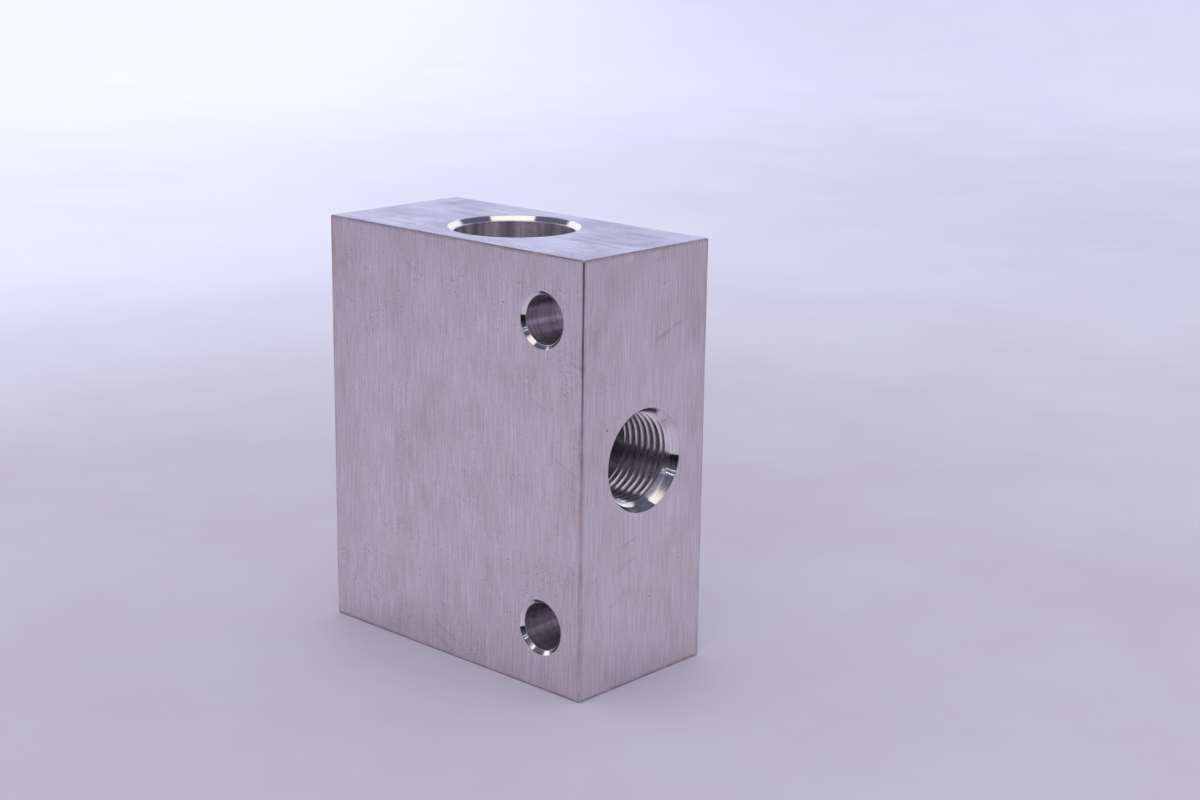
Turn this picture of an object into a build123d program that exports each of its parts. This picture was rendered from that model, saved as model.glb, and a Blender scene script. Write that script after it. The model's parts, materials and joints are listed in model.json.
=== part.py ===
from build123d import *
import os
from math import radians, tan

# Hydraulic manifold block for one screw-in cartridge valve: an aluminium bar, milled square, with a
# stepped cartridge cavity in its top, two O-ring boss ports that run into the cavity, and two
# mounting holes through its depth. It is one piece, with no moving parts.
# The frame is +X right, +Y back, +Z up, and the origin is the middle of the bottom face. Sizes in mm.

# Block
width = 70.0
depth = 35.0
height = 85.0
edge_break = 0.25

# Cartridge cavity, along Z through the middle of the top face, in its order from the top.
# The cartridge screws into the 7/8-14 UNF tapped bore and seals in the two bores below it.
counterbore_mouth_d = 26.2
counterbore_d = 24.2
counterbore_depth = 9.0
cavity_thread_d = 22.2
cavity_tap_drill_d = 20.4
cavity_tap_length = 19.0
seal_bore_d = 19.0
nose_bore_d = 15.9
nose_bore_length = 7.0
lead_in_angle = 30.0

# O-ring boss port for 3/4-16 UNF (SAE-8, ISO 11926-1), from the face inwards
port_mouth_d = 20.4
port_thread_d = 19.05
port_tap_drill_d = 17.3
port_seal_cone_depth = 1.8
port_tap_depth = 17.5

# Side port in the right face and bottom port, each with a passage into the cavity
side_port_below_top = 40.7
passage_d = 11.0
passage_land = 4.0

# Mounting holes through the depth, near the right face
mount_hole_d = 9.5
mount_mouth_d = 11.0
mount_from_right = 10.5
mount_from_end = 12.5

drill_point_angle = 118.0
cut_overrun = 2.0

# Heights of the cavity's steps
side_port_z = height - side_port_below_top
counterbore_floor_z = height - counterbore_depth
tap_bore_floor_z = counterbore_floor_z - cavity_tap_length
seal_bore_floor_z = side_port_z - passage_d / 2 - passage_land


def cone_length(large_d, small_d, half_angle):
    """Length along the axis of a cone between two diameters."""
    return (large_d - small_d) / 2 / tan(radians(half_angle))


seal_cone_length = cone_length(cavity_tap_drill_d, seal_bore_d, lead_in_angle)
nose_cone_length = cone_length(seal_bore_d, nose_bore_d, lead_in_angle)
nose_floor_z = seal_bore_floor_z - nose_cone_length - nose_bore_length

# The cavity's cutter: half of its section, turned about Z
with BuildPart() as cavity_cutter:
    with BuildSketch(Plane.XZ):
        with BuildLine():
            Polyline(
                (0, height + cut_overrun),
                (counterbore_mouth_d / 2, height + cut_overrun),
                (counterbore_mouth_d / 2, height),
                (counterbore_d / 2, height - (counterbore_mouth_d - counterbore_d) / 2),
                (counterbore_d / 2, counterbore_floor_z),
                (cavity_thread_d / 2, counterbore_floor_z),
                (
                    cavity_tap_drill_d / 2,
                    counterbore_floor_z - (cavity_thread_d - cavity_tap_drill_d) / 2,
                ),
                (cavity_tap_drill_d / 2, tap_bore_floor_z),
                (seal_bore_d / 2, tap_bore_floor_z - seal_cone_length),
                (seal_bore_d / 2, seal_bore_floor_z),
                (nose_bore_d / 2, seal_bore_floor_z - nose_cone_length),
                (nose_bore_d / 2, nose_floor_z),
                (0, nose_floor_z - cone_length(nose_bore_d, 0, drill_point_angle / 2)),
                close=True,
            )
        make_face()
    revolve(axis=Axis.Z)

# The port's cutter, drilled down from the XY plane: mouth, seal cone, thread lead-in and tap drill
port_lead_in = (port_thread_d - port_tap_drill_d) / 2
with BuildPart() as port_cutter:
    with BuildSketch(Plane.XZ):
        with BuildLine():
            Polyline(
                (0, cut_overrun),
                (port_mouth_d / 2, cut_overrun),
                (port_mouth_d / 2, 0),
                (port_thread_d / 2, -port_seal_cone_depth),
                (port_tap_drill_d / 2, -port_seal_cone_depth - port_lead_in),
                (port_tap_drill_d / 2, -port_tap_depth),
                (0, -port_tap_depth - cone_length(port_tap_drill_d, 0, drill_point_angle / 2)),
                close=True,
            )
        make_face()
    revolve(axis=Axis.Z)

front_face = Plane(origin=(0, -depth / 2, 0), x_dir=(1, 0, 0), z_dir=(0, -1, 0))
side_port = Plane(origin=(width / 2, 0, side_port_z), x_dir=(0, 1, 0), z_dir=(1, 0, 0))
bottom_port = Plane(origin=(0, 0, 0), x_dir=(1, 0, 0), z_dir=(0, 0, -1))
mount_x = width / 2 - mount_from_right

with BuildPart() as manifold_block:
    Box(width, depth, height, align=(Align.CENTER, Align.CENTER, Align.MIN))
    chamfer(manifold_block.edges(), length=edge_break)
    add(cavity_cutter.part, mode=Mode.SUBTRACT)
    with Locations(side_port, bottom_port):
        add(port_cutter.part, mode=Mode.SUBTRACT)
    with Locations(side_port):
        Hole(passage_d / 2, depth=width / 2)
    with Locations(bottom_port):
        Hole(passage_d / 2, depth=nose_floor_z)
    with BuildSketch(front_face):
        with Locations((mount_x, mount_from_end), (mount_x, height - mount_from_end)):
            Circle(mount_hole_d / 2)
    extrude(amount=-depth, mode=Mode.SUBTRACT)
    front_and_back = manifold_block.faces().filter_by(Plane.XZ).sort_by(Axis.Y)
    mount_rims = front_and_back[0].edges() + front_and_back[-1].edges()
    chamfer(mount_rims.filter_by(GeomType.CIRCLE), length=(mount_mouth_d - mount_hole_d) / 2)

os.makedirs("parts", exist_ok=True)
manifold_block.part.label = "manifold_block"
export_step(manifold_block.part, "parts/manifold_block.step")
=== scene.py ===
import json
from math import cos, pi, radians, sin, tan

import bmesh
import bpy
from mathutils import Matrix, Vector


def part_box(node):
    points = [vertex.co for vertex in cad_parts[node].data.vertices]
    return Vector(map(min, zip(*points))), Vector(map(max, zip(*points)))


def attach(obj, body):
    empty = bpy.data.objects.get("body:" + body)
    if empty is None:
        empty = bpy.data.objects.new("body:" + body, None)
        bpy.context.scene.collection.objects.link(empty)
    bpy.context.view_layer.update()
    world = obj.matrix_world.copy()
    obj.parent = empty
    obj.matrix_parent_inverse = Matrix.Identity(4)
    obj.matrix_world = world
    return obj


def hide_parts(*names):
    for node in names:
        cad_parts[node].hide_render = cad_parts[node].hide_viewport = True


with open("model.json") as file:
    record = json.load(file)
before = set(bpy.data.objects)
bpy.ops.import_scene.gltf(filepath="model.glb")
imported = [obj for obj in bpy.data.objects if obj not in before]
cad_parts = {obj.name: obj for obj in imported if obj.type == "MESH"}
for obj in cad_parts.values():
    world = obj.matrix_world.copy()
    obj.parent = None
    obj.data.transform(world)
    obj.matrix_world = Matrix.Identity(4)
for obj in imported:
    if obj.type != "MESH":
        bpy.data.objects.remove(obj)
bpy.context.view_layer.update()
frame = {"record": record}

# The block is cut from a milled blank, as the real one is: first the bores, then the threads.
# Lengths are in metres. Places, radii and depths that the record's mounts hold are read from them.
MM = 0.001
NODE = "manifold_block"
LOW, HIGH = (Vector(corner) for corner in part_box(NODE))
MOUNTS = {mount["name"]: mount for mount in frame["record"]["mounts"]}
X, Y, Z = range(3)
AXES = ((1.0, 0.0, 0.0), (0.0, 1.0, 0.0), (0.0, 0.0, 1.0))

# Edges. A rim is the thin bright facet where a mouth's cone meets a face.
EDGE_BREAK = 0.25 * MM
RIM = 0.08 * MM
BORE_LIP = 0.16 * MM

# Drilled passages
PASSAGE_R = 5.5 * MM
DRILL_HALF_ANGLE = radians(59)

# Side port and bottom port, with depths below their faces
PORT_MOUTH_R = 10.2 * MM
PORT_THREAD_R = 9.525 * MM
PORT_PITCH = 1.5875 * MM
PORT_CONE_DEPTH = 1.8 * MM
PORT_TAP_DEPTH = 17.5 * MM
PORT_GROOVE_START = 0.6 * PORT_CONE_DEPTH
PORT_FULL_THREAD = 11.6 * MM

# Cartridge cavity, with depths below the top face
CAVITY_MOUTH_R = 13.1 * MM
CAVITY_BORE_R = 12.1 * MM
CAVITY_BORE_DEPTH = 9 * MM
CAVITY_THREAD_R = 11.1 * MM
CAVITY_PITCH = 25.4 / 14 * MM
CAVITY_GROOVE_START = CAVITY_BORE_DEPTH - 0.8 * CAVITY_PITCH
CAVITY_FULL_THREAD = 23.5 * MM
LEAD_IN_ANGLE = radians(30)

MOUNT_MOUTH_R = 5.5 * MM

# Cutters
OVERRUN = 2 * MM
ROUND_SEGMENTS = 144
SMOOTH_BELOW = radians(28)

# Thread grooves: steps in a turn, turns of run-out, and then sizes in pitches. The root's flat is an
# eighth of a pitch wide and a little crowned, and the groove's cutter reaches into the open bore.
THREAD_STEPS = 72
THREAD_FADE_TURNS = 1.6
THREAD_FLANK_ANGLE = radians(30)
ROOT_HALF_WIDTH = 1 / 16
ROOT_CROWN = 0.02
GROOVE_REACH = 0.12
FADE_CLEARANCE = 0.05

# Colours of the metal, and colour filters for what lies on it
SIDE_METAL = (0.81, 0.745, 0.775)
# The top face has the sides' metal painted darker and bluer for how light falls on the top: painted shade
# with a painted bluish tint.
TOP_METAL_PAINTED_TINT = (0.455, 0.45, 0.62)
CUT_METAL = (0.86, 0.82, 0.83)
BORED_METAL = (0.7, 0.65, 0.7)
COOL, WARM = (0.98, 1.0, 1.01), (1.0, 0.965, 0.95)
STAINED = (0.86, 0.81, 0.77)
HANDLED = (0.93, 0.88, 0.87)
GRIMY = (0.7, 0.64, 0.65)

# Marks of milling beside the hairlines: noise steps per metre across and along the grain, detail,
# roughness, seed, and strength as a share of the face's contrast. The last is an even speckle.
TOOL_MARKS = (
    (1000.0, 40.0, 3.0, 0.6, 3.0, 0.14),
    (170.0, 20.0, 2.0, 0.5, 5.0, 0.12),
    (3000.0, 3000.0, 3.0, 0.65, 25.0, 0.55),
)
HAIRLINE_STEPS_ALONG = 110.0

# How dark each kind of damage is, where a pit is 1
SCRATCH_DARKNESS = 0.25
STIPPLE_DARKNESS = 0.35


# ---------------------------------------------------------------- materials

class Nodes:
    """Short calls for building one node tree. Scales are in noise steps per metre along each axis."""

    def __init__(self, tree):
        self.tree = tree
        self.here = self.add("ShaderNodeTexCoord").outputs["Object"]

    def add(self, kind, **values):
        node = self.tree.nodes.new(kind)
        for name, value in values.items():
            setattr(node, name, value)
        return node

    def feed(self, socket, value):
        """Link value to the socket if it is another socket, or else set it there."""
        if isinstance(value, bpy.types.NodeSocket):
            self.tree.links.new(value, socket)
        else:
            socket.default_value = value

    def math(self, operation, a, b=0.0, c=0.0, clamp=False):
        node = self.add("ShaderNodeMath", operation=operation, use_clamp=clamp)
        for socket, value in zip(node.inputs, (a, b, c)):
            self.feed(socket, value)
        return node.outputs[0]

    def ramp(self, value, low, high, to_low=0.0, to_high=1.0):
        """to_low up to low, to_high from high on, and a smooth step between them."""
        node = self.add("ShaderNodeMapRange", interpolation_type="SMOOTHSTEP")
        for socket, number in zip(node.inputs, (value, low, high, to_low, to_high)):
            self.feed(socket, number)
        return node.outputs[0]

    def swing(self, value, amount, base=0.0):
        """base plus up to half of amount either way, as a noise goes from dark to light."""
        return self.math("MULTIPLY_ADD", self.ramp(value, 0.25, 0.75, -0.5, 0.5), amount, base)

    def mix(self, factor, a, b, blend="MIX"):
        node = self.add("ShaderNodeMix", data_type="RGBA", blend_type=blend)
        colour_a, colour_b = node.inputs[6], node.inputs[7]
        self.feed(node.inputs["Factor"], factor)
        self.feed(colour_a, a)
        self.feed(colour_b, b)
        return node.outputs[2]

    def tinted(self, factor, shade, filter_colour):
        """shade seen through a colour filter, as far as factor says."""
        return self.mix(factor, shade, tint(filter_colour), "MULTIPLY")

    def vector(self, operation, a, b):
        node = self.add("ShaderNodeVectorMath", operation=operation)
        self.feed(node.inputs[0], a)
        self.feed(node.inputs[1], b)
        return node.outputs["Value" if operation in ("DOT_PRODUCT", "DISTANCE") else "Vector"]

    def dot(self, vector, direction):
        return self.vector("DOT_PRODUCT", vector, direction)

    def joined(self, parts):
        node = self.add("ShaderNodeCombineXYZ")
        for socket, part in zip(node.inputs, parts):
            self.feed(socket, part)
        return node.outputs[0]

    def noise_at(self, vector, detail, rough=0.5, seed=0.0, output="Fac"):
        node = self.add("ShaderNodeTexNoise", noise_dimensions="4D")
        self.feed(node.inputs["Vector"], vector)
        node.inputs["W"].default_value = seed
        node.inputs["Scale"].default_value = 1.0
        node.inputs["Detail"].default_value = detail
        node.inputs["Roughness"].default_value = rough
        return node.outputs[output]

    def noise(self, scale, detail, rough, seed):
        return self.noise_at(self.vector("MULTIPLY", self.here, scale), detail, rough, seed)

    def pits(self, per_metre, reach, rarity):
        """1 inside small uneven pits and 0 elsewhere.

        There are per_metre cells in a metre. reach is a middling pit's radius as a share of a cell,
        and rarity is the share of cells with no pit.
        """
        place = self.vector("MULTIPLY", self.here, [per_metre] * 3)
        ragged = self.noise_at(self.vector("MULTIPLY", place, [5.0] * 3), 1.0, output="Color")
        place = self.vector("ADD", place, self.vector("MULTIPLY", ragged, [0.25] * 3))
        cells = self.add("ShaderNodeTexVoronoi")
        self.feed(cells.inputs["Vector"], place)
        cells.inputs["Scale"].default_value = 1.0
        chance = self.add("ShaderNodeSeparateColor")
        self.feed(chance.inputs[0], cells.outputs["Color"])
        has_pit = self.math("GREATER_THAN", chance.outputs[0], rarity)
        radius = self.ramp(chance.outputs[1], 0.0, 1.0, reach * 0.4, reach * 1.3)
        near = self.ramp(self.math("DIVIDE", cells.outputs["Distance"], radius), 0.6, 1.0, 1.0, 0.0)
        return self.math("MULTIPLY", near, has_pit)

    def bump(self, height, strength, distance):
        node = self.add("ShaderNodeBump")
        node.inputs["Strength"].default_value = strength
        node.inputs["Distance"].default_value = distance
        self.feed(node.inputs["Height"], height)
        return node.outputs[0]


def tint(colour, amount=1.0):
    """A colour made lighter or darker by amount, with the alpha that colour sockets take."""
    return [amount * part for part in colour] + [1.0]


def along(axis, across, lengthwise):
    """A noise scale for marks that run along one axis."""
    scale = [across] * 3
    scale[axis] = lengthwise
    return scale


def new_metal(name, metallic, blur_direction, anisotropy):
    """A metal whose reflections are drawn out along blur_direction, which is across its tool marks."""
    material = bpy.data.materials.new(name)
    material.use_nodes = True
    n = Nodes(material.node_tree)
    shader = n.tree.nodes["Principled BSDF"]
    shader.inputs["Metallic"].default_value = metallic
    shader.inputs["Anisotropic"].default_value = anisotropy
    n.feed(shader.inputs["Tangent"], n.joined(blur_direction))
    return material, n, shader


def near_edges(n, nearest, furthest):
    """1 on the block's edges, falling to 0 between two distances from them."""
    size, middle = HIGH - LOW, (HIGH + LOW) / 2
    near = []
    for axis in range(3):
        off_middle = n.math("SUBTRACT", n.dot(n.here, AXES[axis]), middle[axis])
        reach = size[axis] / 2
        near.append(n.ramp(n.math("ABSOLUTE", off_middle), reach - furthest, reach - nearest))
    # An edge is near where two of the three pairs of faces are
    total = n.math("MULTIPLY", near[X], near[Y])
    total = n.math("MULTIPLY_ADD", near[Y], near[Z], total)
    return n.math("MULTIPLY_ADD", near[X], near[Z], total, clamp=True)


def scratches(n):
    """1 on a few thin, slanting scratches, and 0 elsewhere."""
    across = n.dot(n.here, (70.0, -60.0, 190.0))
    lengthwise = n.dot(n.here, (22.0, 22.0, 0.0))
    lines = n.noise_at(n.joined((across, lengthwise, 0.5)), 0.5)
    thin = n.ramp(n.math("ABSOLUTE", n.math("SUBTRACT", lines, 0.5)), 0.0, 0.012, 1.0, 0.0)
    return n.math("MULTIPLY", thin, n.ramp(n.noise([90.0] * 3, 2.0, 0.5, 21.0), 0.6, 0.66))


def small_damage(n):
    """0 on clean metal, 1 in pits, and less in scratches and in patches of fine stipple."""
    pits = n.math("MAXIMUM", n.pits(400.0, 0.14, 0.93), n.pits(900.0, 0.18, 0.96))
    patches = n.ramp(n.noise([110.0] * 3, 2.0, 0.5, 31.0), 0.54, 0.66)
    stipple = n.math("MULTIPLY", n.pits(2200.0, 0.4, 0.5), patches)
    scratched = n.math("MULTIPLY", scratches(n), SCRATCH_DARKNESS)
    light = n.math("MAXIMUM", scratched, n.math("MULTIPLY", stipple, STIPPLE_DARKNESS))
    return n.math("MAXIMUM", light, pits)


def milled_tone(n, hairlines, grain_axis, contrast):
    """How light each mark of the milling is, about 0.5."""
    tone = n.swing(hairlines, contrast, 0.5)
    for across, lengthwise, detail, rough, seed, strength in TOOL_MARKS:
        marks = n.noise(along(grain_axis, across, lengthwise), detail, rough, seed)
        tone = n.swing(marks, strength * contrast, tone)
    return tone


def soiled(n, shade, clouds, grain_axis):
    """shade with warm and cool clouds, stains, handling near the edges and grime on them."""
    shade = n.mix(clouds, n.tinted(1.0, shade, COOL), n.tinted(1.0, shade, WARM))
    stains = n.ramp(n.noise(along(grain_axis, 90.0, 60.0), 6.0, 0.6, 11.0), 0.5, 0.75)
    shade = n.tinted(n.math("MULTIPLY", stains, 0.6), shade, STAINED)
    handled = n.math("MULTIPLY", near_edges(n, 1 * MM, 11 * MM), n.ramp(stains, 0.0, 1.0, 0.35, 1.0))
    shade = n.tinted(handled, shade, HANDLED)
    grime = n.ramp(n.noise([250.0] * 3, 4.0, 0.6, 15.0), 0.3, 0.7, 0.3, 0.9)
    return n.tinted(n.math("MULTIPLY", near_edges(n, 0.15 * MM, 1.0 * MM), grime), shade, GRIMY)


def milled_material(name, grain_axis, across_grain, fineness, colour, roughness, contrast):
    """A milled face: hair-fine lines along one axis, fineness noise steps to a metre, with wear on it."""
    material, n, shader = new_metal(name, 1.0, across_grain, 0.6)
    hairlines = n.noise(along(grain_axis, fineness, HAIRLINE_STEPS_ALONG), 2.0, 0.7, 0.0)
    tone = milled_tone(n, hairlines, grain_axis, contrast)
    shade = n.mix(tone, tint(colour, 0.7), tint(colour, 1.3))
    clouds = n.ramp(n.noise(along(grain_axis, 110.0, 75.0), 6.0, 0.62, 7.0), 0.38, 0.62)
    shade = soiled(n, shade, clouds, grain_axis)
    damage = small_damage(n)
    n.feed(shader.inputs["Base Color"], n.mix(damage, shade, tint(colour, 0.12)))
    n.feed(shader.inputs["Roughness"], n.ramp(clouds, 0.0, 1.0, roughness - 0.03, roughness + 0.04))
    height = n.math("MULTIPLY_ADD", damage, -6.0, hairlines)
    n.feed(shader.inputs["Normal"], n.bump(height, 0.5, 0.004 * MM))
    return material


def turned_material(name, axis, colour, metallic, roughness, ring_contrast, chatter, ring_depth):
    """A turned, drilled or tapped surface: fine rings about its axis, and chatter marks along it."""
    material, n, shader = new_metal(name, metallic, AXES[axis], 0.9)
    fine_rings = n.noise(along(axis, 25.0, 5200.0), 2.0, 0.7, 2.0 + axis)
    rings = n.noise(along(axis, 25.0, 2300.0), 2.0, 0.6, 9.0 + axis)
    tone = n.math("MULTIPLY_ADD", fine_rings, 0.6, n.math("MULTIPLY", rings, 0.4))
    dark, light = tint(colour, 1 - ring_contrast), tint(colour, 1 + ring_contrast)
    shade = n.mix(n.ramp(tone, 0.35, 0.65), dark, light)
    marks = n.ramp(n.noise(along(axis, 330.0, 12.0), 3.0, 0.6, 17.0), 0.38, 0.62)
    marked = n.mix(marks, tint((1, 1, 1), 1 - chatter), tint((1, 1, 1), 1 + chatter))
    n.feed(shader.inputs["Base Color"], n.mix(1.0, shade, marked, "MULTIPLY"))
    n.feed(shader.inputs["Roughness"], n.ramp(rings, 0.3, 0.7, roughness * 0.9, roughness * 1.1))
    n.feed(shader.inputs["Normal"], n.bump(tone, 0.6, ring_depth))
    return material


MATERIALS = []


def slot_of(material):
    """Add a material to the block's, and say which slot it has."""
    MATERIALS.append(material)
    return len(MATERIALS) - 1


def turned_slots(word, colour, metallic, roughness, finish, upright_finish=None):
    """The slots of a turned material for bores along X, Y and Z.

    A finish is the rings' contrast, the chatter's contrast and the rings' depth. Bores along Z have
    their own where upright_finish gives it.
    """
    slots = []
    for axis, letter in enumerate("xyz"):
        look = upright_finish if upright_finish and axis == Z else finish
        material = turned_material(f"turned_{word}_{letter}", axis, colour, metallic, roughness, *look)
        slots.append(slot_of(material))
    return slots


SIDE = slot_of(milled_material("milled_side", Z, (1, 1, 0), 3600.0, SIDE_METAL, 0.36, 0.54))
# The top's colour is painted shade with a painted bluish tint on the same metal as the sides.
TOP = slot_of(milled_material("milled_top", X, (0, 1, 0), 1300.0, TOP_METAL_PAINTED_TINT, 0.3, 0.85))
MOUTH = turned_slots("mouth", CUT_METAL, 1.0, 0.1, (0.2, 0.0, 0.004 * MM))
TAPPED = turned_slots("tapped", CUT_METAL, 0.97, 0.2, (0.12, 0.1, 0.0015 * MM))
LIP = turned_slots("lip", CUT_METAL, 0.8, 0.5, (0.2, 0.1, 0.002 * MM))
# The cavity was bored smoother than the holes that were only drilled
DRILLED, BORED = (0.25, 0.3, 0.001 * MM), (0.03, 0.36, 0.0003 * MM)
WALL = turned_slots("wall", BORED_METAL, 0.88, 0.24, DRILLED, BORED)


# ---------------------------------------------------------------- solids

def mesh_object(name, build, materials=MATERIALS):
    """An object whose mesh is made by build(bm), with the materials in its slots."""
    bm = bmesh.new()
    build(bm)
    bmesh.ops.recalc_face_normals(bm, faces=bm.faces)
    mesh = bpy.data.meshes.new(name)
    bm.to_mesh(mesh)
    bm.free()
    for material in materials:
        mesh.materials.append(material)
    thing = bpy.data.objects.new(name, mesh)
    bpy.context.scene.collection.objects.link(thing)
    return thing


def block_blank(bm):
    """The sawn and milled blank, with its edges broken."""
    corners = bmesh.ops.create_cube(bm, size=1.0)["verts"]
    size, middle = HIGH - LOW, (HIGH + LOW) / 2
    for corner in corners:
        corner.co = Vector(a * b for a, b in zip(corner.co, size)) + middle
    bmesh.ops.bevel(bm, geom=bm.edges[:], offset=EDGE_BREAK, segments=1, affect="EDGES")
    for face in bm.faces:
        below_top = HIGH.z - face.calc_center_median().z
        face.material_index = TOP if below_top < EDGE_BREAK / 10 else SIDE


def turned(profile, place):
    """build(bm) for a solid turned about local Z from (radius, height, slot) points, from axis to axis.

    A point's slot is that of the face from it to the next point.
    """
    def build(bm):
        angles = [2 * pi * i / ROUND_SEGMENTS for i in range(ROUND_SEGMENTS)]
        rings = []
        for r, z, _ in profile:
            if r == 0:
                rings.append([bm.verts.new((0, 0, z))] * ROUND_SEGMENTS)
            else:
                rings.append([bm.verts.new((r * cos(a), r * sin(a), z)) for a in angles])
        for (_, _, slot), a, b in zip(profile, rings, rings[1:]):
            for i in range(ROUND_SEGMENTS):
                j = (i + 1) % ROUND_SEGMENTS
                corners = list(dict.fromkeys([a[i], a[j], b[j], b[i]]))
                bm.faces.new(corners).material_index = slot
        bmesh.ops.transform(bm, matrix=place, verts=bm.verts)
    return build


def groove_section(major_r, minor_r, pitch):
    """The groove's section as (radius, height) points, and its inner radius, inside the open bore."""
    inner_r = minor_r - GROOVE_REACH * pitch
    shoulder_r = major_r - ROOT_CROWN * pitch
    root_half = ROOT_HALF_WIDTH * pitch
    mouth_half = root_half + (major_r - inner_r) * tan(THREAD_FLANK_ANGLE)
    section = [
        (inner_r, -mouth_half),
        (shoulder_r, -root_half),
        (major_r, 0.0),
        (shoulder_r, root_half),
        (inner_r, mouth_half),
    ]
    return section, inner_r


def helical_groove(major_r, minor_r, pitch, from_depth, to_depth, place, slot):
    """build(bm) for the cutter of a 60 degree internal thread, a groove about local Z below z = 0.

    The groove starts at from_depth in the open mouth, and over the last turns before to_depth
    it runs out into the bore.
    """
    section, inner_r = groove_section(major_r, minor_r, pitch)
    full_fade = major_r - inner_r + FADE_CLEARANCE * pitch
    steps = int((to_depth - from_depth) / pitch * THREAD_STEPS)

    def ring_at(bm, step):
        turn = step / THREAD_STEPS
        angle = 2 * pi * turn
        fade = max(0.0, 1 - turn / THREAD_FADE_TURNS) * full_fade
        z = -to_depth + turn * pitch
        places = [((r - fade) * cos(angle), (r - fade) * sin(angle), z + dz) for r, dz in section]
        return [bm.verts.new(place) for place in places]

    def build(bm):
        rings = [ring_at(bm, step) for step in range(steps + 1)]
        for a, b in zip(rings, rings[1:]):
            for i in range(len(section)):
                j = (i + 1) % len(section)
                bm.faces.new((a[i], a[j], b[j], b[i])).material_index = slot
        bm.faces.new(rings[0]).material_index = slot
        bm.faces.new(rings[-1]).material_index = slot
        bmesh.ops.transform(bm, matrix=place, verts=bm.verts)
    return build


def cut(target, cutter):
    """Subtract cutter from target for good, and drop the cutter's mesh."""
    modifier = target.modifiers.new("cut", "BOOLEAN")
    modifier.operation = "DIFFERENCE"
    modifier.solver = "EXACT"
    modifier.object = cutter
    mesh = bpy.data.meshes.new_from_object(target.evaluated_get(bpy.context.evaluated_depsgraph_get()))
    target.modifiers.clear()
    uncut = target.data
    target.data = mesh
    bpy.data.meshes.remove(uncut)
    bpy.data.meshes.remove(cutter.data)


def facing(axis, origin):
    """The matrix that puts local Z along axis and local zero at origin."""
    return Matrix.Translation(origin) @ Vector(axis).to_track_quat("Z", "Y").to_matrix().to_4x4()


def cone_length(large_r, small_r, half_angle):
    return (large_r - small_r) / tan(half_angle)


def mount_r(name):
    return MOUNTS[name]["dims"]["r_mm"] * MM


def mount_length(name):
    return MOUNTS[name]["dims"]["length_mm"] * MM


def port_profile(tap_r, axis):
    """Half the section of a port along an axis, from outside its mouth to where its passage starts."""
    mouth, wall, tapped, lip = MOUTH[axis], WALL[axis], TAPPED[axis], LIP[axis]
    lead_in = PORT_THREAD_R - tap_r
    return [
        (PORT_MOUTH_R + RIM, OVERRUN, lip),
        (PORT_MOUTH_R + RIM, 0, lip),
        (PORT_MOUTH_R, -RIM, mouth),
        (PORT_THREAD_R, -PORT_CONE_DEPTH, tapped),
        (tap_r, -PORT_CONE_DEPTH - lead_in, tapped),
        (tap_r, -PORT_TAP_DEPTH, wall),
        (PASSAGE_R, -PORT_TAP_DEPTH - cone_length(tap_r, PASSAGE_R, DRILL_HALF_ANGLE), wall),
    ]


def cavity_profile():
    """Half the section of the cartridge cavity, from outside its mouth to where its passage starts."""
    tap_r, seal_r, nose_r = (mount_r("cavity_" + part) for part in ("thread", "seal_bore", "nose_bore"))
    tap_top = -CAVITY_BORE_DEPTH - (CAVITY_THREAD_R - tap_r)
    tap_floor = tap_top - mount_length("cavity_thread")
    seal_top = tap_floor - cone_length(tap_r, seal_r, LEAD_IN_ANGLE)
    seal_floor = seal_top - mount_length("cavity_seal_bore")
    nose_top = seal_floor - cone_length(seal_r, nose_r, LEAD_IN_ANGLE)
    nose_floor = nose_top - mount_length("cavity_nose_bore")
    chamfer_floor = CAVITY_BORE_R - CAVITY_MOUTH_R - RIM
    mouth, wall, tapped, lip = MOUTH[Z], WALL[Z], TAPPED[Z], LIP[Z]
    return [
        (CAVITY_MOUTH_R + RIM, OVERRUN, lip),
        (CAVITY_MOUTH_R + RIM, 0, lip),
        (CAVITY_MOUTH_R, -RIM, mouth),
        (CAVITY_BORE_R + BORE_LIP, chamfer_floor + BORE_LIP, lip),
        (CAVITY_BORE_R, chamfer_floor, wall),
        (CAVITY_BORE_R, -CAVITY_BORE_DEPTH, wall),
        (CAVITY_THREAD_R, -CAVITY_BORE_DEPTH, tapped),
        (tap_r, tap_top, tapped),
        (tap_r, tap_floor, wall),
        (seal_r, seal_top, wall),
        (seal_r, seal_floor, wall),
        (nose_r, nose_top, wall),
        (nose_r, nose_floor, wall),
        (PASSAGE_R, nose_floor - cone_length(nose_r, PASSAGE_R, DRILL_HALF_ANGLE), wall),
    ]


def closed(profile):
    """A profile with both ends brought to the axis."""
    (_, first_z, first_slot), (_, last_z, last_slot) = profile[0], profile[-1]
    return [(0, first_z, first_slot), *profile, (0, last_z, last_slot)]


def mirrored(profile, length):
    """The same profile for the other end of a bore that is length long, from inside outwards."""
    return [(r, -z - length, slot) for r, z, slot in reversed(profile)]


def mounting_hole_cutter(name):
    """A through hole with a chamfer at each mouth."""
    r = mount_r(name)
    chamfer = MOUNT_MOUTH_R - r
    x, _, z = MOUNTS[name]["pos_m"]
    mouth, wall, lip = MOUTH[Y], WALL[Y], LIP[Y]
    front = [
        (MOUNT_MOUTH_R + RIM, OVERRUN, lip),
        (MOUNT_MOUTH_R + RIM, 0, lip),
        (MOUNT_MOUTH_R, -RIM, mouth),
        (r + RIM, -chamfer, lip),
        (r, -chamfer - RIM, wall),
    ]
    back = [(r, z, mouth) for r, z, _ in mirrored(front, HIGH.y - LOW.y)]
    return mesh_object(name, turned(closed(front + back), facing((0, -1, 0), (x, LOW.y, z))))


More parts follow.
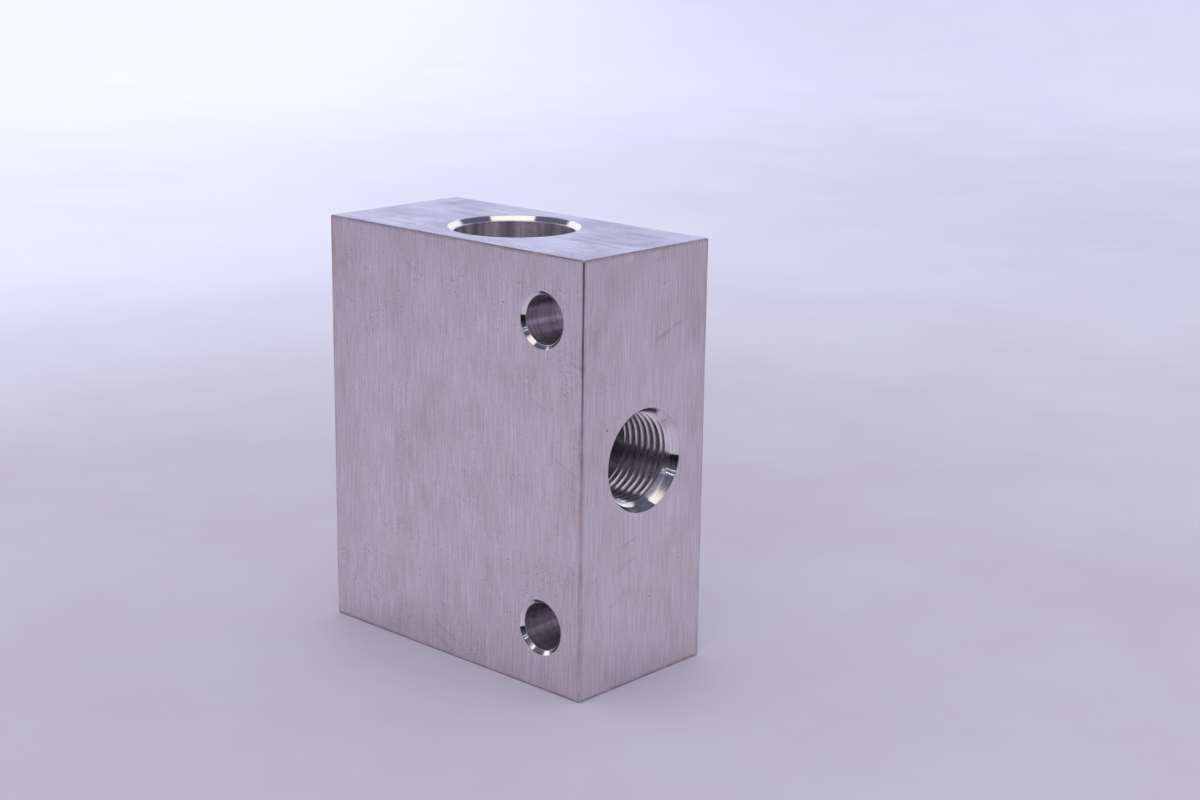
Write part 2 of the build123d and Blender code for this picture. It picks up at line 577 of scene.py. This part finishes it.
def make_cutters():
    """Every bore, passage and thread, each as a solid to subtract. Bores on one axis are one solid."""
    down = facing((0, 0, 1), (0, 0, HIGH.z))
    upward = facing((0, 0, -1), (0, 0, LOW.z))
    inward = facing((1, 0, 0), (HIGH.x, 0, MOUNTS["side_port"]["pos_m"][Z]))
    upright = cavity_profile() + mirrored(port_profile(mount_r("bottom_port"), Z), HIGH.z - LOW.z)
    side_r = mount_r("side_port")
    side = port_profile(side_r, X) + [(PASSAGE_R, -HIGH.x, WALL[X])]
    port_end = PORT_FULL_THREAD + PORT_PITCH * THREAD_FADE_TURNS
    port_groove = (PORT_THREAD_R, side_r, PORT_PITCH, PORT_GROOVE_START, port_end)
    tap_r = mount_r("cavity_thread")
    cavity_end = CAVITY_FULL_THREAD + CAVITY_PITCH * THREAD_FADE_TURNS
    cavity_groove = (CAVITY_THREAD_R, tap_r, CAVITY_PITCH, CAVITY_GROOVE_START, cavity_end)
    return [
        mesh_object("upright_bores", turned(closed(upright), down)),
        mesh_object("side_bores", turned(closed(side), inward)),
        mounting_hole_cutter("lower_mounting_hole"),
        mounting_hole_cutter("upper_mounting_hole"),
        mesh_object("side_thread", helical_groove(*port_groove, inward, TAPPED[X])),
        mesh_object("bottom_thread", helical_groove(*port_groove, upward, TAPPED[Z])),
        mesh_object("cavity_thread", helical_groove(*cavity_groove, down, TAPPED[Z])),
    ]


def make_block():
    block = mesh_object("block_as_machined", block_blank)
    for cutter in make_cutters():
        cut(block, cutter)
    block.data.shade_smooth()
    block.data.set_sharp_from_angle(angle=SMOOTH_BELOW)
    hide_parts(NODE)
    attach(block, "root")


# ---------------------------------------------------------------- studio

# The camera, as the block's edges in the photo place it. It stands off from the block's middle,
# and looks a little beside and above it.
CAMERA_AZIMUTH = radians(42.431)
CAMERA_ELEVATION = radians(14.493)
CAMERA_ROLL = radians(0.777)
CAMERA_DISTANCE = 0.40646
CAMERA_ASIDE = 0.017309
CAMERA_ABOVE = 0.007000
CAMERA_LENS_MM = 60.506
SENSOR_WIDTH_MM = 36

# Level directions, towards the camera and to its right
TO_CAMERA = (sin(CAMERA_AZIMUTH), -cos(CAMERA_AZIMUTH), 0.0)
ASIDE_OF_CAMERA = (cos(CAMERA_AZIMUTH), sin(CAMERA_AZIMUTH), 0.0)

# The corner of the floor, beyond these, where a near-black patch is painted for reflections alone: a
# painted dark reflection of the camera's stand
STAND_X, STAND_Y = 0.18, -0.01
PAINTED_STAND_REFLECTION = (0.012, 0.01, 0.012)
FLOOR_RADIUS = 9.0
FLOOR_COLOURS = (0.71, 0.66, 0.78), (0.76, 0.73, 0.84)
FLOOR_GLOW = (0.88, 0.93, 1.2)

# A window to the right of the block, and the dark gap between it and the backdrop.
# The threads' flanks show both.
TO_WINDOW = (0.872, 0.165, 0.46)
TO_GAP = (0.66, 0.57, 0.49)

# Light from each part of the room
CAMERA_SIDE = (0.012, 0.01, 0.015)
CEILING = (0.11, 0.115, 0.18)
WINDOW_LIGHT = (0.66, 0.66, 0.82)
BACKDROP = (1.05, 1.05, 1.25)
GAP_DARK = (0.05, 0.045, 0.055)
AMBIENT = (0.54, 0.54, 0.62)
BACKDROP_SEEN = (0.95, 0.96, 1.0), (0.7, 0.7, 0.9)

# What the two strip lights shine at, the chamfer of the upper mounting hole
STRIP_AIM = (0.02, -0.018, 0.075)


def floor_glow(n, rays):
    """Extra light away from the block, seen by the camera alone, as the photo's table fades to white."""
    away = n.vector("DISTANCE", n.here, (0, 0, 0))
    near_glow = n.ramp(n.dot(n.here, ASIDE_OF_CAMERA), -0.3, 0.3, 0.42, 0.16)
    near_glow = n.math("MULTIPLY", near_glow, n.ramp(away, 0.08, 0.5))
    glow = n.math("ADD", near_glow, n.ramp(away, 0.45, 1.2, 0.0, 0.16))
    return n.math("MULTIPLY", glow, rays.outputs["Is Camera Ray"])


def floor_material():
    """Pale sheet. Reflections, and nothing else, also show a near-black patch painted on it: a painted
    dark reflection of the camera stand.
    """
    material = bpy.data.materials.new("pale_floor")
    material.use_nodes = True
    n = Nodes(material.node_tree)
    rays = n.add("ShaderNodeLightPath")
    sheet = n.tree.nodes["Principled BSDF"]
    sheet.inputs["Roughness"].default_value = 0.7
    clouds = n.ramp(n.noise([14.0] * 3, 5.0, 0.6, 2.0), 0.3, 0.7)
    n.feed(sheet.inputs["Base Color"], n.mix(clouds, *map(tint, FLOOR_COLOURS)))
    n.feed(sheet.inputs["Emission Color"], tint(FLOOR_GLOW))
    n.feed(sheet.inputs["Emission Strength"], floor_glow(n, rays))

    # A near-black patch painted on the floor and shown to reflections alone: a painted dark reflection of
    # the camera's stand.
    painted_stand = n.add("ShaderNodeEmission")
    n.feed(painted_stand.inputs["Color"], tint(PAINTED_STAND_REFLECTION))
    beyond_x = n.ramp(n.dot(n.here, AXES[X]), STAND_X, STAND_X + 0.02)
    beyond_y = n.ramp(n.dot(n.here, AXES[Y]), STAND_Y, STAND_Y + 0.03, 1.0, 0.0)
    painted_reflection_mask = n.math("MULTIPLY", n.math("MULTIPLY", beyond_x, beyond_y), rays.outputs["Is Glossy Ray"])
    blend = n.add("ShaderNodeMixShader")
    for socket, value in zip(blend.inputs, (painted_reflection_mask, sheet.outputs[0], painted_stand.outputs[0])):
        n.feed(socket, value)
    n.feed(n.tree.nodes["Material Output"].inputs["Surface"], blend.outputs[0])
    return material


def make_floor():
    def disc(bm):
        bmesh.ops.create_circle(bm, cap_ends=True, segments=96, radius=FLOOR_RADIUS)
    mesh_object("floor", disc, [floor_material()])


def make_light(name, place, aim, size, power, colour=(1, 1, 1)):
    """A rectangular area light. Its size is its width and height in metres."""
    light = bpy.data.lights.new(name, "AREA")
    light.shape = "RECTANGLE"
    light.size, light.size_y = size
    light.energy = power
    light.color = colour
    thing = bpy.data.objects.new(name, light)
    thing.location = place
    thing.rotation_euler = (Vector(aim) - Vector(place)).to_track_quat("-Z", "Y").to_euler()
    bpy.context.scene.collection.objects.link(thing)


def mirrored_room(n, around):
    """What the metal mirrors: a dark room with a dim ceiling and a window, and the low backdrop."""
    height = n.dot(around, AXES[Z])
    room = n.mix(n.ramp(height, 0.0, 0.5), tint(CAMERA_SIDE), tint(CEILING))
    window = n.math("MULTIPLY", n.ramp(n.dot(around, TO_WINDOW), 0.94, 0.96), n.ramp(height, 0.3, 0.36))
    room = n.mix(window, room, tint(WINDOW_LIGHT))
    behind = n.ramp(n.dot(around, TO_CAMERA), -0.1, 0.25, 1.0, 0.0)
    low = n.ramp(height, 0.5, 0.6, 1.0, 0.0)
    lit = n.mix(n.math("MULTIPLY", behind, low), room, tint(BACKDROP))
    gap = n.ramp(n.dot(around, TO_GAP), 0.955, 0.975)
    return n.mix(gap, lit, tint(GAP_DARK))


def make_world():
    """The room as metal mirrors it, as an even light on dull surfaces, and as a plain backdrop seen."""
    world = bpy.data.worlds.new("studio")
    bpy.context.scene.world = world
    world.use_nodes = True
    n = Nodes(world.node_tree)
    rays = n.add("ShaderNodeLightPath")
    around = n.add("ShaderNodeTexCoord").outputs["Generated"]
    light = n.mix(rays.outputs["Is Diffuse Ray"], mirrored_room(n, around), tint(AMBIENT))
    shown = n.mix(n.ramp(n.dot(around, ASIDE_OF_CAMERA), -0.6, 0.6), *map(tint, BACKDROP_SEEN))
    background = n.tree.nodes["Background"]
    n.feed(background.inputs["Color"], n.mix(rays.outputs["Is Camera Ray"], light, shown))
    background.inputs["Strength"].default_value = 1.0


def make_camera():
    level, upright = cos(CAMERA_ELEVATION), sin(CAMERA_ELEVATION)
    away = Vector((TO_CAMERA[X] * level, TO_CAMERA[Y] * level, upright))
    turn = away.to_track_quat("Z", "Y").to_matrix() @ Matrix.Rotation(CAMERA_ROLL, 3, "Z")
    right, up, back = (turn.col[i] for i in range(3))
    middle = Vector((0, 0, (LOW.z + HIGH.z) / 2))
    place = middle + right * CAMERA_ASIDE + up * CAMERA_ABOVE + back * CAMERA_DISTANCE
    camera = bpy.data.objects.new("camera", bpy.data.cameras.new("camera"))
    camera.data.lens = CAMERA_LENS_MM
    camera.data.sensor_width = SENSOR_WIDTH_MM
    camera.data.clip_start = 0.01
    camera.data.clip_end = 50
    camera.matrix_world = Matrix.Translation(place) @ turn.to_4x4()
    bpy.context.scene.collection.objects.link(camera)
    bpy.context.scene.camera = camera


make_camera()
make_block()
make_floor()
make_world()
make_light("softbox", (0.11, -0.195, 0.945), (0.11, 0.04, 0.0), (0.6, 1.02), 1.9, (1.0, 0.97, 0.88))
make_light("low_strip", (0.56, -0.65, 0.4), STRIP_AIM, (0.4, 0.01), 0.03)
make_light("high_strip", (0.51, -0.64, 0.5), STRIP_AIM, (0.4, 0.014), 0.045)
bpy.context.scene.view_settings.view_transform = "Standard"
